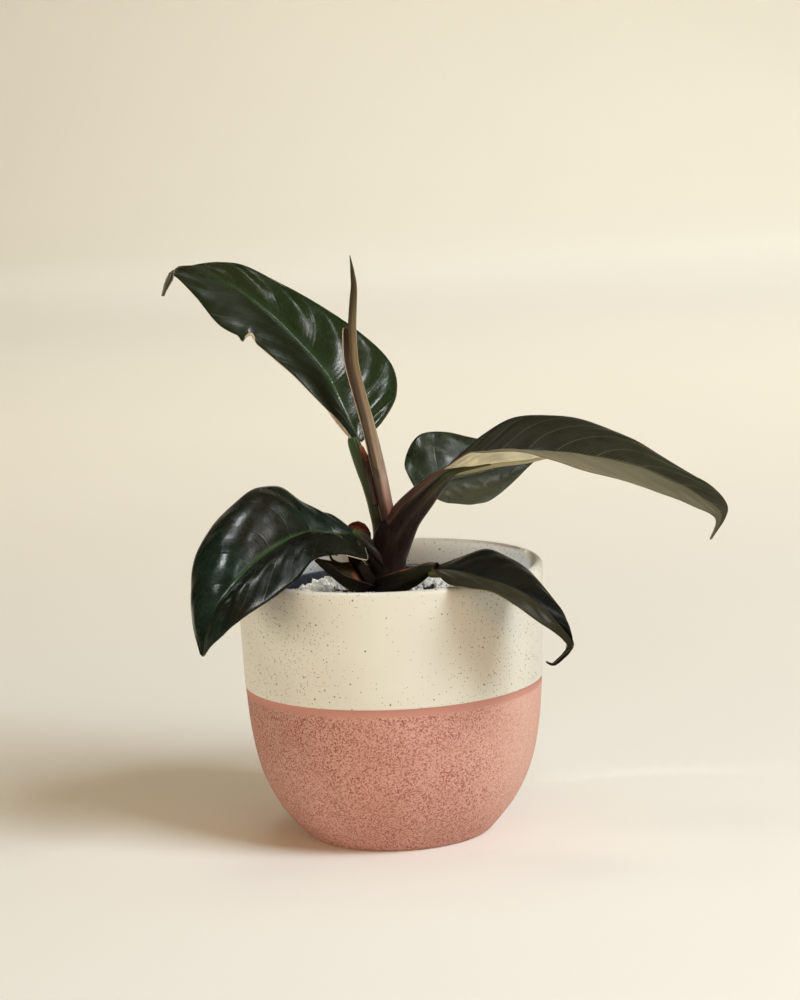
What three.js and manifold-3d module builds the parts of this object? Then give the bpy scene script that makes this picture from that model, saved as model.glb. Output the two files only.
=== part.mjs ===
// A young imperial red philodendron in its plastic nursery pot, set inside a two-tone ceramic cover pot.
// Millimetres, +Z up. The origin is the centre of the cover pot's flat base, and the viewer stands at -Y.
import * as THREE from 'three';
import { mergeVertices } from 'three/addons/utils/BufferGeometryUtils.js';
import Module from 'manifold-3d';

const wasm = await Module();
wasm.setup();

// Clear space left between two pieces that touch.
const GAP = 0.3;

// Cover pot, 139 mm across its rim.
const POT_HEIGHT = 122.2;
const POT_FLOOR = 7;
const POT_SIDES = 40;

// Nursery pot, 12 cm across.
const NURSERY_BASE = POT_FLOOR + GAP;
const NURSERY_TOP = 111;
const NURSERY_SKIN = 1.2;
const NURSERY_SIDES = 32;
const DRAIN_HOLES = 6;
const DRAIN_HOLE_RADIUS = 3.5;
const DRAIN_RING_RADIUS = 24;

// Soil, mounded towards the stem.
const SOIL_BASE = NURSERY_BASE + NURSERY_SKIN + GAP;
const SOIL_TOP = 111;
const SOIL_EDGE = 105;
const SOIL_EDGE_RADIUS = 56.7;
const SOIL_BASE_RADIUS = 36.6;
const SOIL_SIDES = 30;

// Perlite lumps, half sunk in the soil.
const PERLITE_LUMPS = 10;
const PERLITE_RADIUS = 2.4;
const PERLITE_NEAREST = 24;
const PERLITE_FARTHEST = 50;
const PERLITE_FIRST_ANGLE = 63;
const PERLITE_TURN = 137.5;

// Leaves and stalks.
const BLADE_THICKNESS = 0.8;
const SHEATH_THICKNESS = 0.9;
const STEPS_ALONG = 20;
const STEPS_ACROSS = 6;
const BLADE_ARCH = 1.5;
const BROAD_BLADE_ARCH = 3;
const STALK_SIDES = 12;
const STEM_SIDES = 16;
const ROOT_SIDES = 6;
const STEPS_PER_STATION = 3;

// Each leaf blade is a row of ribs, from its stalk to its tip.
// A rib is [left margin, midrib, right margin], as seen on the leaf's upper face with its tip ahead.
const TALL_LEFT_RIBS = [
  [[-13, 7, 177], [-11, 8, 178], [-10, 9, 177]],
  [[-19, 3, 186], [-15, 11, 186], [0, 18, 185]],
  [[-25, -1, 195], [-20, 14, 197], [7, 27, 196]],
  [[-35, -2, 207], [-26, 19, 209], [5, 34, 209]],
  [[-47, 3, 217], [-35, 24, 220], [-9, 37, 224]],
  [[-58, 8, 226], [-46, 28, 232], [-26, 40, 237]],
  [[-72, 15, 233], [-61, 32, 245], [-46, 42, 249]],
  [[-83, 25, 245], [-76, 34, 253], [-66, 40, 258]],
  [[-93, 31, 254], [-91, 33, 256], [-89, 34, 257]],
  [[-98.5, 29, 245], [-98, 30, 245], [-97.5, 31, 245]],
];
const LONG_RIGHT_RIBS = [
  [[27, -6, 165], [28, -8, 164], [29, -10, 165]],
  [[36, 1, 173], [37, -8, 166], [33, -16, 173]],
  [[45, 8, 179], [49, -8, 168], [43, -22, 176]],
  [[59, 16, 185], [63, -8, 169], [57, -29, 176]],
  [[76, 21, 184], [76, -9, 171], [71, -34, 173]],
  [[94, 21, 181], [92, -10, 169], [85, -36, 169]],
  [[113, 17, 173], [110, -12, 165], [102, -36, 163]],
  [[133, 7, 160], [127, -16, 158], [118, -34, 156]],
  [[147, -5, 152], [139, -20, 151], [133, -31, 150]],
  [[152, -18, 144], [148, -24, 143], [145, -29, 142]],
  [[143.5, -25, 132], [143, -26, 132], [142.5, -27, 132]],
];
const BACK_RIBS = [
  [[13, 13, 154], [15, 12, 153], [16, 10, 153]],
  [[9, 24, 165], [23, 17, 155], [25, 10, 149]],
  [[16, 32, 176], [33, 23, 157], [36, 14, 146]],
  [[31, 38, 176], [44, 29, 158], [46, 20, 146]],
  [[48, 41, 171], [56, 34, 160], [56, 27, 151]],
  [[63, 41, 166], [65, 38, 162], [65, 34, 158]],
  [[73, 40, 164.5], [73, 40, 164], [73, 39.5, 163.5]],
];
const FRONT_LEFT_RIBS = [
  [[-12, -8, 137], [-14, -6, 138], [-15, -4, 139]],
  [[-10, -20, 128], [-24, -9, 139], [-26, 4, 146]],
  [[-21, -30, 135], [-34, -16, 141], [-38, 4, 152]],
  [[-32, -44, 134], [-43, -25, 140], [-50, 0, 160]],
  [[-41, -56, 127], [-52, -35, 137], [-62, -10, 160]],
  [[-53, -66, 120], [-61, -46, 132], [-76, -20, 149]],
  [[-65, -73, 113], [-69, -57, 125], [-85, -34, 135]],
  [[-75, -76, 107], [-77, -66, 115], [-88, -50, 116]],
  [[-81, -72, 99], [-82, -70, 98], [-83, -69, 99]],
];
const FRONT_RIGHT_RIBS = [
  [[20, -32, 126], [18, -34, 125.5], [19, -37, 126]],
  [[30, -29, 129], [29, -47, 127], [24, -61, 125]],
  [[43, -28, 133], [38, -57, 126], [33, -74, 125]],
  [[54, -38, 130], [48, -67, 124], [43, -82, 123]],
  [[65, -55, 122], [58, -73, 120], [54, -86, 118]],
  [[73, -67, 113], [68, -76, 111], [64, -86, 110]],
  [[76, -74, 105], [75, -77, 101], [73, -82, 101]],
  [[77, -77, 96], [76, -78, 96], [75, -79, 96]],
  [[69.5, -78.5, 90], [69, -79, 91], [68.5, -79.5, 92]],
  [[65, -78.5, 91.5], [65, -79, 92], [65, -79.5, 92.5]],
];

// Each stalk is a row of stations [x, y, z, radius] along its middle.
const MAIN_STEM_STATIONS = [[0, 0, 70, 4.5], [0, 0, 90, 7], [-1, -1, 108, 8], [-2, -1, 117, 7]];
const TALL_LEFT_STALK = [
  [-1, 3, 121, 4.6], [-3, 4, 132, 4.4], [-5, 4, 144, 4.1], [-7, 5, 156, 3.9], [-10, 7, 168, 3.5], [-12, 8, 179, 2.6],
];
const LONG_RIGHT_STALK = [
  [-2, -2, 113, 7], [-1, -3, 122, 7.6], [3, -4, 134, 8], [8, -5, 144, 7.3], [15, -6, 152, 6.3],
  [21, -7, 158, 5], [27, -8, 163, 3.6], [30, -8, 165, 2.6],
];
const BACK_STALK = [[-1, 9, 118, 3.2], [3, 12, 132, 3], [8, 13, 143, 2.7], [12, 13, 150, 2.5], [16, 12, 154, 2]];
const FRONT_LEFT_STALK = [[-4, -8, 121, 4.6], [-9, -9, 131, 4.2], [-13, -7, 136, 3.4], [-16, -6, 138.5, 2.4]];
const FRONT_RIGHT_STALK = [
  [-3, -9, 113, 5.8], [3, -20, 117.5, 5.4], [10, -28, 121.5, 4.8], [16, -32, 125, 3.4], [21, -35, 126.5, 2.2],
];
const NEW_LEAF_STALK = [[0, -3, 136, 3.5], [-1, -3, 150, 3.7], [-3, -3, 161, 3.8], [-6, -3, 175, 3.8], [-8, -4, 184, 3.6]];
const NEW_LEAF_ROLL = [
  [-8, -4, 184.3, 3.5], [-11, -5, 198, 3.1], [-12, -6, 212, 3], [-13, -7, 224, 2.9], [-13, -7, 231, 2.4],
  [-11, -7, 239, 1.5], [-10, -8, 250, 1.3], [-11, -8, 258, 0.8], [-12, -8, 263, 0.3],
];

// Roots, as stations from the stem's foot, turned about the pot's axis by equal steps.
const ROOT_STATIONS = [[2, 0, 82, 2.6], [14, 2, 70, 2], [24, -2, 52, 1.5], [27, 3, 32, 1]];
const ROOTS = 6;
const FIRST_ROOT_ANGLE = 23;

// Sheaths are small curved scales, given as ribs [one edge, keel, other edge].
const BOAT_SHEATH_RIBS = [
  [[-6, -4, 114], [-7, -9, 109], [-3, -11, 113]],
  [[-9, -9, 118], [-12, -14, 111.5], [-10, -18, 117]],
  [[-15, -13, 124], [-20, -20, 116], [-20, -23, 122]],
  [[-22, -18, 127], [-27, -24, 123], [-25, -27, 127]],
  [[-32, -27, 131], [-33, -28, 130], [-31, -29, 131]],
];
const INNER_SHEATH_RIBS = [
  [[-3, -9, 113], [-7, -11, 111], [-9, -7, 113]],
  [[-7, -12, 119], [-11, -14, 117.5], [-14, -11, 119]],
  [[-11, -13, 125], [-14, -16, 124], [-17, -13, 125]],
  [[-17, -14, 132], [-18, -15, 132], [-18.5, -14.5, 132]],
];
const CUPPED_SHEATH_RIBS = [
  [[-8, 0, 132], [-13, -1.5, 136.5], [-17, 0, 138]],
  [[-8, 2, 137], [-13, 2, 140], [-18, 2, 140]],
  [[-10, 0, 141], [-13, 0, 142.5], [-16, 0, 142]],
];
const NEW_LEAF_SHEATH_RIBS = [
  [[-7, -8, 150], [-5.5, -7.5, 150], [-4, -8, 150]],
  [[-9, -6.5, 160], [-8.2, -6.5, 160], [-7, -8, 160]],
  [[-11, -5.5, 170], [-10.6, -5, 170], [-9.8, -6, 170]],
  [[-12, -4, 178], [-11.8, -3.8, 178], [-11.4, -4, 178]],
];
const SHEATH_THREAD = [
  [-13, -12.5, 126, 0.9], [-18, -13, 125.5, 0.8], [-22, -15, 126, 0.7], [-25, -17, 128, 0.6], [-26, -17, 130, 0.5],
  [-25, -16, 131, 0.5], [-23, -15, 130, 0.5],
];

const materials = {
  glaze: new THREE.MeshStandardMaterial({ color: 0xe6dcc2, roughness: 0.45 }),
  blackPlastic: new THREE.MeshStandardMaterial({ color: 0x1c222c, roughness: 0.5 }),
  soil: new THREE.MeshStandardMaterial({ color: 0x2b211a, roughness: 0.95 }),
  perlite: new THREE.MeshStandardMaterial({ color: 0xded8cc, roughness: 0.9 }),
  stem: new THREE.MeshStandardMaterial({ color: 0x2a1213, roughness: 0.5 }),
  redStalk: new THREE.MeshStandardMaterial({ color: 0x3a1f1a, roughness: 0.4 }),
  greenStalk: new THREE.MeshStandardMaterial({ color: 0x45522c, roughness: 0.4 }),
  blade: new THREE.MeshStandardMaterial({ color: 0x1d2620, roughness: 0.35 }),
  newLeaf: new THREE.MeshStandardMaterial({ color: 0x6e4c3e, roughness: 0.35 }),
  sheath: new THREE.MeshStandardMaterial({ color: 0x7a4526, roughness: 0.6 }),
};

const vector = ([x, y, z]) => new THREE.Vector3(x, y, z);
const smoothLine = (points) => new THREE.CatmullRomCurve3(points.map(vector), false, 'catmullrom', 0.5);

// A closed three.js geometry as a solid that can be joined and cut.
function solidFrom(geometry) {
  const bare = geometry.clone();
  bare.deleteAttribute('normal');
  bare.deleteAttribute('uv');
  const merged = mergeVertices(bare, 1e-4);
  const mesh = new wasm.Mesh({
    numProp: 3,
    vertProperties: new Float32Array(merged.attributes.position.array),
    triVerts: new Uint32Array(merged.index.array),
  });
  return new wasm.Manifold(mesh);
}

// A solid as a three.js geometry. Where a cut leaves loose slivers, only the largest piece is kept.
function geometryFrom(solid) {
  const pieces = solid.decompose();
  pieces.sort((a, b) => b.volume() - a.volume());
  const mesh = pieces[0].getMesh();
  const geometry = new THREE.BufferGeometry();
  geometry.setAttribute('position', new THREE.BufferAttribute(new Float32Array(mesh.vertProperties), 3));
  geometry.setIndex(new THREE.BufferAttribute(new Uint32Array(mesh.triVerts), 1));
  geometry.computeVertexNormals();
  return geometry;
}

const joined = (solids) => solids.reduce((whole, solid) => whole.add(solid));
const cutBy = (solid, cutters) => cutters.reduce((left, cutter) => left.subtract(cutter), solid);

// A profile of [radius, height] pairs turned about the Z axis.
function turned(profile, sides) {
  const outline = profile.map(([radius, height]) => new THREE.Vector2(radius, height));
  const geometry = new THREE.LatheGeometry(outline, sides);
  geometry.rotateX(Math.PI / 2);
  return solidFrom(geometry);
}

// The world axis that lies most across a line, from which its sections are squared up.
function axisAcross(stations) {
  const chord = vector(stations.at(-1)).sub(vector(stations[0]));
  const lengths = chord.toArray().map(Math.abs);
  const least = lengths.indexOf(Math.min(...lengths));
  return new THREE.Vector3().setComponent(least, 1);
}

// A round stalk through its stations. swell makes it larger all over.
function stalk(stations, swell = 0, sides = STALK_SIDES) {
  const steps = (stations.length - 1) * STEPS_PER_STATION;
  const line = smoothLine(stations);
  const radii = smoothLine(stations.map((station) => [station[3], 0, 0]));
  const reference = axisAcross(stations);
  const geometry = new THREE.CylinderGeometry(1, 1, 1, sides, steps);
  const position = geometry.attributes.position;
  for (let i = 0; i < position.count; i += 1) {
    const along = position.getY(i) + 0.5;
    const radius = radii.getPoint(along).x + swell;
    const tangent = line.getTangent(along);
    const across = new THREE.Vector3().crossVectors(tangent, reference).normalize();
    const upright = new THREE.Vector3().crossVectors(across, tangent);
    const spot = line.getPoint(along);
    spot.addScaledVector(across, position.getX(i) * radius);
    spot.addScaledVector(upright, position.getZ(i) * radius);
    spot.addScaledVector(tangent, position.getY(i) * 2 * swell);
    position.setXYZ(i, spot.x, spot.y, spot.z);
  }
  return solidFrom(geometry);
}

// A thin curved sheet through its ribs, arched between midrib and margins by arch millimetres.
// swell makes it thicker, wider and longer all round.
function sheet(ribs, { thickness, arch = 0, along = STEPS_ALONG, swell = 0 }) {
  const [left, middle, right] = [0, 1, 2].map((rail) => smoothLine(ribs.map((rib) => rib[rail])));
  const onFace = (u, v) => {
    const edge = (v < 0 ? left : right).getPoint(u);
    return middle.getPoint(u).lerp(edge, Math.abs(v));
  };
  const lengthwiseAt = (u, v) => {
    const step = 0.01;
    return onFace(Math.min(u + step, 1), v).sub(onFace(Math.max(u - step, 0), v)).normalize();
  };
  const sidewaysAt = (u, v) => {
    const step = 0.1;
    return onFace(u, Math.min(v + step, 1)).sub(onFace(u, Math.max(v - step, -1))).normalize();
  };
  const geometry = new THREE.BoxGeometry(2, 2, 1, STEPS_ACROSS, along, 1);
  const position = geometry.attributes.position;
  for (let i = 0; i < position.count; i += 1) {
    const u = (position.getY(i) + 1) / 2;
    const v = position.getX(i);
    const rise = arch * Math.sin(Math.PI * Math.abs(v)) * Math.sin(Math.PI * u);
    const lengthwise = lengthwiseAt(u, v);
    const sideways = sidewaysAt(u, v);
    const normal = new THREE.Vector3().crossVectors(sideways, lengthwise).normalize();
    const spot = onFace(u, v);
    spot.addScaledVector(normal, rise + position.getZ(i) * (thickness + 2 * swell));
    spot.addScaledVector(sideways, v * swell);
    spot.addScaledVector(lengthwise, position.getY(i) * swell);
    position.setXYZ(i, spot.x, spot.y, spot.z);
  }
  return solidFrom(geometry);
}

// Outside of the cover pot from its base up, then over the lip and down the inside to the floor.
function coverPot() {
  const outside = [[0, 0], [41, 0], [42.4, 0.8], [44.5, 3], [48.8, 8], [53.4, 14], [57.9, 22], [61.9, 32]];
  const wall = [[64.6, 44], [66.2, 56], [67.3, 70], [68.1, 90], [69, 112]];
  const lip = [[69.3, 118.5], [68.9, 121], [67.4, POT_HEIGHT], [65.9, 121.8], [64.9, 120], [64.4, 116]];
  const inside = [[63.6, 100], [62.6, 75], [61.2, 56], [59.2, 44], [56, 32], [51.6, 22], [46.6, 14], [42.4, 9.4]];
  const floor = [[38, POT_FLOOR], [0, POT_FLOOR]];
  return turned([...outside, ...wall, ...lip, ...inside, ...floor], POT_SIDES);
}

// Thin tapered plastic pot with a rolled rim and drainage holes through its floor.
function nurseryPot() {
  const outside = [[0, NURSERY_BASE], [37, NURSERY_BASE], [38.2, NURSERY_BASE + 1], [58.4, 105]];
  const rim = [[60.4, 105.4], [60.9, 106.4], [60.9, 109.8], [60.2, NURSERY_TOP], [58.4, NURSERY_TOP], [57.4, 110]];
  const inside = [[57.2, 105], [37, NURSERY_BASE + NURSERY_SKIN], [0, NURSERY_BASE + NURSERY_SKIN]];
  const shell = turned([...outside, ...rim, ...inside], NURSERY_SIDES);
  const holes = Array.from({ length: DRAIN_HOLES }, (_, i) => {
    const angle = (i / DRAIN_HOLES) * 2 * Math.PI;
    const drill = new THREE.CylinderGeometry(DRAIN_HOLE_RADIUS, DRAIN_HOLE_RADIUS, 12, 12);
    drill.rotateX(Math.PI / 2);
    drill.translate(DRAIN_RING_RADIUS * Math.cos(angle), DRAIN_RING_RADIUS * Math.sin(angle), NURSERY_BASE);
    return solidFrom(drill);
  });
  return cutBy(shell, holes);
}

// Height of the soil at a distance from the pot's axis.
const soilHeight = (radius) => SOIL_TOP - (SOIL_TOP - SOIL_EDGE) * (radius / SOIL_EDGE_RADIUS) ** 2;

function soilMound() {
  const top = [SOIL_EDGE_RADIUS, 48, 36, 24, 12].map((radius) => [radius, soilHeight(radius)]);
  return turned([[0, SOIL_BASE], [SOIL_BASE_RADIUS, SOIL_BASE], ...top, [0, SOIL_TOP]], SOIL_SIDES);
}

function stemAndRoots(swell = 0) {
  const roots = Array.from({ length: ROOTS }, (_, i) => {
    const angle = (i / ROOTS) * 360 + FIRST_ROOT_ANGLE;
    const turn = new THREE.Matrix4().makeRotationZ(THREE.MathUtils.degToRad(angle));
    const stations = ROOT_STATIONS.map(([x, y, z, radius]) => {
      return [...new THREE.Vector3(x, y, z).applyMatrix4(turn).toArray(), radius];
    });
    return stalk(stations, swell, ROOT_SIDES);
  });
  return joined([stalk(MAIN_STEM_STATIONS, swell, STEM_SIDES), ...roots]);
}

// Rounded irregular lumps, spread round the stem by the golden angle.
function perliteLump(index, swell = 0) {
  const share = (index + 0.5) / PERLITE_LUMPS;
  const distance = THREE.MathUtils.lerp(PERLITE_NEAREST, PERLITE_FARTHEST, share);
  const angle = THREE.MathUtils.degToRad(PERLITE_FIRST_ANGLE + index * PERLITE_TURN);
  const radius = PERLITE_RADIUS * (1 + 0.25 * Math.sin(index * 2.3));
  const geometry = new THREE.IcosahedronGeometry(radius + swell, 0);
  geometry.scale(1, 0.85 + 0.1 * Math.cos(index), 0.8);
  geometry.rotateZ(index);
  geometry.translate(distance * Math.cos(angle), distance * Math.sin(angle), soilHeight(distance) + radius * 0.35);
  return solidFrom(geometry);
}

const group = new THREE.Group();

function place(name, solid, material) {
  const mesh = new THREE.Mesh(geometryFrom(solid), material);
  mesh.name = name;
  group.add(mesh);
}

place('cover_pot', coverPot(), materials.glaze);
place('nursery_pot', nurseryPot(), materials.blackPlastic);

// The plant's pieces grow through and round each other: each is cut back from the ones placed before it.
const placed = [];

function grow(name, solid, swollen, material) {
  place(name, cutBy(solid, placed), material);
  placed.push(swollen);
}

function growStalk(name, stations, material, sides) {
  grow(name, stalk(stations, 0, sides), stalk(stations, GAP, sides), material);
}

function growSheet(name, ribs, material, shape) {
  grow(name, sheet(ribs, shape), sheet(ribs, { ...shape, swell: GAP }), material);
}

grow('main_stem', stemAndRoots(), stemAndRoots(GAP), materials.stem);
growStalk('long_right_stalk', LONG_RIGHT_STALK, materials.redStalk);
growStalk('new_leaf_stalk', NEW_LEAF_STALK, materials.redStalk);
growStalk('tall_left_stalk', TALL_LEFT_STALK, materials.greenStalk);
growStalk('front_left_stalk', FRONT_LEFT_STALK, materials.greenStalk);
growStalk('front_right_stalk', FRONT_RIGHT_STALK, materials.redStalk);
growStalk('back_stalk', BACK_STALK, materials.greenStalk);
growStalk('new_leaf_roll', NEW_LEAF_ROLL, materials.newLeaf);

const bladeShape = { thickness: BLADE_THICKNESS, arch: BLADE_ARCH };
growSheet('tall_left_blade', TALL_LEFT_RIBS, materials.blade, bladeShape);
growSheet('long_right_blade', LONG_RIGHT_RIBS, materials.blade, bladeShape);
growSheet('back_blade', BACK_RIBS, materials.blade, bladeShape);
growSheet('front_left_blade', FRONT_LEFT_RIBS, materials.blade, { ...bladeShape, arch: BROAD_BLADE_ARCH });
growSheet('front_right_blade', FRONT_RIGHT_RIBS, materials.blade, bladeShape);

const sheathShape = { thickness: SHEATH_THICKNESS, along: 10 };
growSheet('boat_sheath', BOAT_SHEATH_RIBS, materials.sheath, sheathShape);
growSheet('inner_sheath', INNER_SHEATH_RIBS, materials.sheath, sheathShape);
growSheet('cupped_sheath', CUPPED_SHEATH_RIBS, materials.sheath, sheathShape);
growSheet('new_leaf_sheath', NEW_LEAF_SHEATH_RIBS, materials.sheath, sheathShape);
growStalk('sheath_thread', SHEATH_THREAD, materials.sheath, ROOT_SIDES);

for (let i = 0; i < PERLITE_LUMPS; i += 1) {
  grow(`perlite_lump_${i + 1}`, perliteLump(i), perliteLump(i, GAP), materials.perlite);
}
place('potting_soil', cutBy(soilMound(), placed), materials.soil);

export default group;
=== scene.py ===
"""A young imperial red philodendron: five grown leaves and a rolled new one, in a nursery pot that stands
inside a two-tone ceramic cover pot. Lengths of the plant and pots are written in millimetres."""
import math
import random

import bmesh
import bpy
from mathutils import Matrix, Vector, noise


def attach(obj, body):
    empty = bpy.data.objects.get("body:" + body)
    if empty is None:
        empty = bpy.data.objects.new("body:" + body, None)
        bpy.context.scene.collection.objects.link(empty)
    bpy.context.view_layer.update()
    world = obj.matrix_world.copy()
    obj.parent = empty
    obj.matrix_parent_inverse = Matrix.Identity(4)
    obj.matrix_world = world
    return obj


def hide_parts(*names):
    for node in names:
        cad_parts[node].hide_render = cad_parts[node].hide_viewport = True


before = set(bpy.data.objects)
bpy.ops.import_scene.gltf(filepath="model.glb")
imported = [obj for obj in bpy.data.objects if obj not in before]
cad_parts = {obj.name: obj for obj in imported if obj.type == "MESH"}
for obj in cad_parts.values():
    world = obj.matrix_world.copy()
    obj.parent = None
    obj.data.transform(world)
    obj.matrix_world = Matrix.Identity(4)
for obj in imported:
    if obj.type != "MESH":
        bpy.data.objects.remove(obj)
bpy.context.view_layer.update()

MM = 0.001

# Camera, at the photograph's viewing angle.
CAMERA_DISTANCE = 1.333
CAMERA_HEIGHT = 0.365
CAMERA_PITCH = 9.11
CAMERA_YAW = 0.26
CAMERA_ROLL = -2.35
CAMERA_LENS = 108
CAMERA_SENSOR = 36

# Cover pot.
GLAZE_LINE = 70.3
GLAZE_STEP = 0.22
# The plain pink band under the glaze line gives way to the mottle between these depths below the line.
BAND_FADE = 2.4
BAND_FOOT = 4.2
# The glaze is whiter and cooler inside the rim, between these radii; this also paints light onto the shaded
# inner wall.
RIM_INSIDE = 64.7
RIM_CREST = 66.2
POT_STEPS_ROUND = 192

# Nursery pot.
DRAIN_HOLES = 6
DRAIN_HOLE_RADIUS = 3.5
DRAIN_HOLE_RING = 24
NURSERY_POT_STEPS_ROUND = 128

# Studio, in metres.
PLANT_MIDDLE = (0, 0, 0.1)
ROOM_TINT = (1, 0.7, 0.36, 1)
ROOM_STRENGTH = 0.225
SWEEP_FRONT = -5
SWEEP_HALF_WIDTH = 6
SWEEP_START = 3.6
SWEEP_BEND = 1.2
SWEEP_TOP = 1.9

# Soil.
SOIL_TOP = 111
SOIL_EDGE = 105
SOIL_EDGE_RADIUS = 56.7
SOIL_FOOT = 9
SOIL_FOOT_RADIUS = 36.6
SOIL_RINGS = 50
SOIL_STEPS_ROUND = 180
SOIL_LUMPINESS = 1.1
PERLITE_LUMPS = 10
PERLITE_GRAINS = 1500
BARK_CRUMBS = 700
SCATTER_REACH = 55
# Drifts of perlite: [middle x, middle y, reach, height, grains].
PERLITE_HEAPS = [[-30, 20, 13, 3.6, 150], [17, 15, 10, 2.8, 90], [-30, -20, 10, 1.8, 50]]

# Leaves, each a row of ribs from stalk to tip: [left margin, midrib, right margin].
TALL_LEFT_RIBS = [
    [[-13, 7, 177], [-11, 8, 178], [-10, 9, 177]],
    [[-19, 3, 186], [-15, 11, 186], [0, 18, 185]],
    [[-25, -1, 195], [-20, 14, 197], [7, 27, 196]],
    [[-35, -2, 207], [-26, 19, 209], [5, 34, 209]],
    [[-47, 3, 217], [-35, 24, 220], [-9, 37, 224]],
    [[-58, 8, 226], [-46, 28, 232], [-26, 40, 237]],
    [[-72, 15, 233], [-61, 32, 245], [-46, 42, 249]],
    [[-83, 25, 245], [-76, 34, 253], [-66, 40, 258]],
    [[-93, 31, 254], [-91, 33, 256], [-89, 34, 257]],
    [[-96.6, 29.8, 251.4], [-95, 30.3, 252], [-93.2, 30.6, 251.4]],
    [[-98.5, 29, 245], [-98, 30, 245], [-97.5, 31, 245]],
]
LONG_RIGHT_RIBS = [
    [[26, -6.5, 165.5], [27, -8, 164.5], [26, -9.5, 166.3]],
    [[36, 1, 173], [37, -8, 166], [36.5, -16, 173.8]],
    [[45, 8, 179], [49, -8, 168], [43, -22, 176]],
    [[59, 16, 185], [63, -8, 169], [57, -29, 176]],
    [[76, 21, 184], [76, -9, 171], [71, -34, 173]],
    [[94, 21, 181], [92, -10, 169], [85, -36, 169]],
    [[113, 17, 173], [110, -12, 165], [102, -36, 163]],
    [[133, 7, 160], [127, -16, 158], [118, -34, 156]],
    [[147, -5, 152], [139, -20, 151], [133, -31, 150]],
    [[152, -18, 144], [148, -24, 143], [145, -29, 142]],
    [[143.5, -25, 132], [143, -26, 132], [142.5, -27, 132]],
]
BACK_RIBS = [
    [[13, 13, 154], [15, 12, 153], [16, 10, 153]],
    [[9, 24, 165], [23, 17, 155], [25, 10, 149]],
    [[16, 32, 176], [33, 23, 157], [36, 14, 146]],
    [[31, 38, 176], [44, 29, 158], [46, 20, 146]],
    [[48, 41, 171], [56, 34, 160], [56, 27, 151]],
    [[63, 41, 166], [65, 38, 162], [65, 34, 158]],
    [[73, 40, 164.5], [73, 40, 164], [73, 39.5, 163.5]],
]
FRONT_LEFT_RIBS = [
    [[-12, -8, 137], [-14, -6, 138], [-15, -4, 139]],
    [[-10, -20, 128], [-24, -9, 139], [-26, 4, 146]],
    [[-21, -30, 135], [-34, -16, 141], [-38, 4, 152]],
    [[-32, -44, 134], [-43, -25, 140], [-50, 0, 160]],
    [[-41, -56, 127], [-52, -35, 137], [-62, -10, 160]],
    [[-53, -66, 120], [-61, -46, 132], [-76, -20, 149]],
    [[-65, -73, 113], [-69, -57, 125], [-85, -34, 135]],
    [[-75, -76, 107], [-77, -66, 115], [-88, -50, 116]],
    [[-81, -72, 99], [-82, -70, 98], [-83, -69, 99]],
]
FRONT_RIGHT_RIBS = [
    [[20, -32, 126], [18, -34, 125.5], [19, -37, 126]],
    [[30, -29, 129], [29, -47, 127], [24, -61, 125]],
    [[43, -28, 133], [38, -57, 126], [33, -74, 125]],
    [[54, -38, 130], [48, -67, 124], [43, -82, 123]],
    [[65, -55, 122], [58, -73, 120], [54, -86, 118]],
    [[73, -67, 113], [68, -76, 111], [64, -86, 110]],
    [[76, -74, 105], [75, -77, 101], [73, -82, 101]],
    [[75.6, -77.6, 96], [74.9, -78, 96], [74.4, -78.6, 96]],
    [[69.2, -78.8, 90.1], [69, -79, 90.4], [68.8, -79.2, 90.7]],
    [[65.1, -78.9, 90.9], [65.1, -79, 91.1], [65.1, -79.1, 91.3]],
]

# Stalks, each a row of stations along its middle: [x, y, z, radius].
MAIN_STEM = [[0, 0, 70, 4.5], [0, 0, 90, 7], [-1, -1, 108, 8], [-2, -1, 117, 7]]
TALL_LEFT_STALK = [
    [-1, 1, 112, 4.6], [-2, 3, 124, 4.4], [-2.9, 3.5, 133, 3.8], [-3.5, 4, 139.6, 3.5], [-4.8, 4, 146, 3.3],
    [-6.2, 4.5, 152.4, 3.2], [-7.9, 5, 158.8, 3.2], [-10, 6, 165.1, 3.15], [-12.1, 7, 171.9, 3.1],
    [-13.5, 7.5, 176.9, 2.9], [-14, 8, 179.6, 2.3],
]
LONG_RIGHT_STALK = [
    [-2, -2, 113, 7], [-1, -3, 122, 7.6], [3, -4, 134, 8], [8, -5, 144, 7.3], [15, -6, 152, 6.3],
    [21, -7, 158, 5], [27, -8, 163, 3.5], [31, -8, 165, 2.3], [38, -8, 166, 1.5], [47, -8, 167, 1],
]
BACK_STALK = [
    [-1, 3, 110, 3.2], [0, 8, 121, 3.2], [3, 12, 132, 3], [8, 13, 143, 2.7], [12, 13, 150, 2.5],
    [16, 12, 154, 2],
]
FRONT_LEFT_STALK = [
    [-1, -5, 113, 4.6], [-4.5, -8, 122.5, 4.6], [-9, -9, 131, 4.2], [-13, -7, 136, 3.4],
    [-16, -6, 138.5, 2.4],
]
FRONT_RIGHT_STALK = [
    [-3, -9, 113, 5.8], [3, -20, 117.5, 5.4], [10, -28, 121.5, 4.8], [16, -32, 125, 3.4],
    [21, -35, 126.5, 2.2],
]
NEW_LEAF_STALK = [
    [2, -4, 130, 3], [0.6, -4, 143, 3.3], [-0.9, -4, 152, 3.35], [-2.4, -4, 163, 3.2],
    [-3.8, -4.3, 171, 3.05], [-4.7, -4.7, 176, 2.8],
]
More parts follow.
